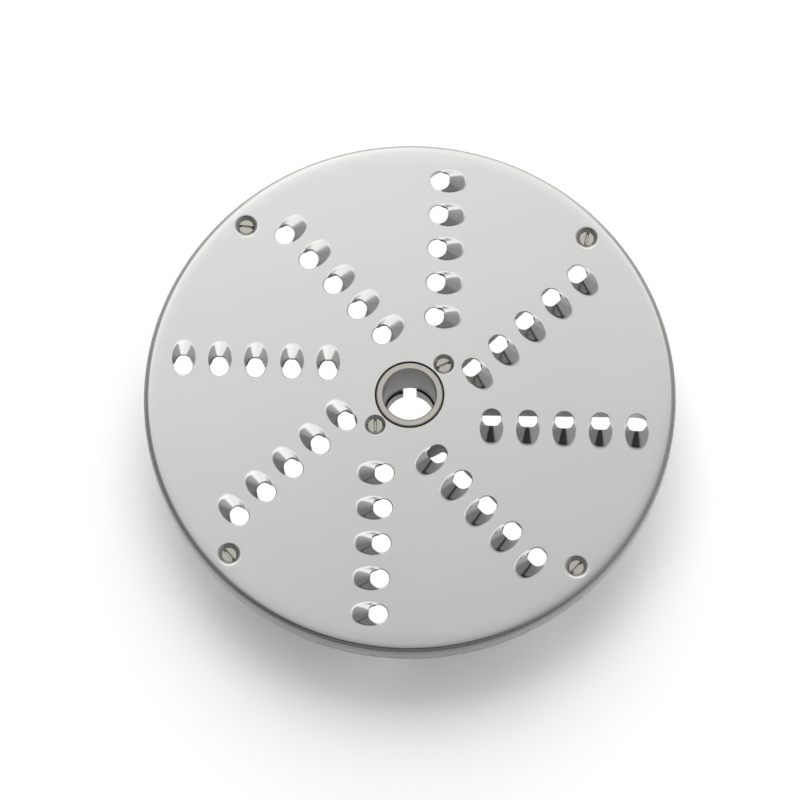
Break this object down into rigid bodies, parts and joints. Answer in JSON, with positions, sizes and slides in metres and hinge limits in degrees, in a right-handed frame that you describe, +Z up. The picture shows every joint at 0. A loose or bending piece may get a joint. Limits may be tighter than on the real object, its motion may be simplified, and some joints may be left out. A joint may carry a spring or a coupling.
{
  "type": "food processor grating disc",
  "caption": "Round steel grating disc with radial rows of raised hooded teeth on a spoked casting, with a drive bush that slides on a shaft.",
  "frame": {"origin": "middle of the drive bush's foot, the lowest point, on the axis of the shaft", "axes": "+Z up along the shaft axis, out of the grating face; +Y along one row of teeth"},
  "size_m": [0.2056, 0.2056, 0.0357],
  "materials": {
    "pressed_sheet": "satin stainless sheet",
    "casting": "blasted casting",
    "turned_steel": "turned, fine rings",
    "screw_steel": "turned"
  },
  "bodies": {
    "root": {"grating_plate": "pressed_sheet", "support_wheel": "casting", "drive_bush": "turned_steel", "rim_screws": "screw_steel", "hub_screws": "screw_steel"}
  },
  "joints": []
}
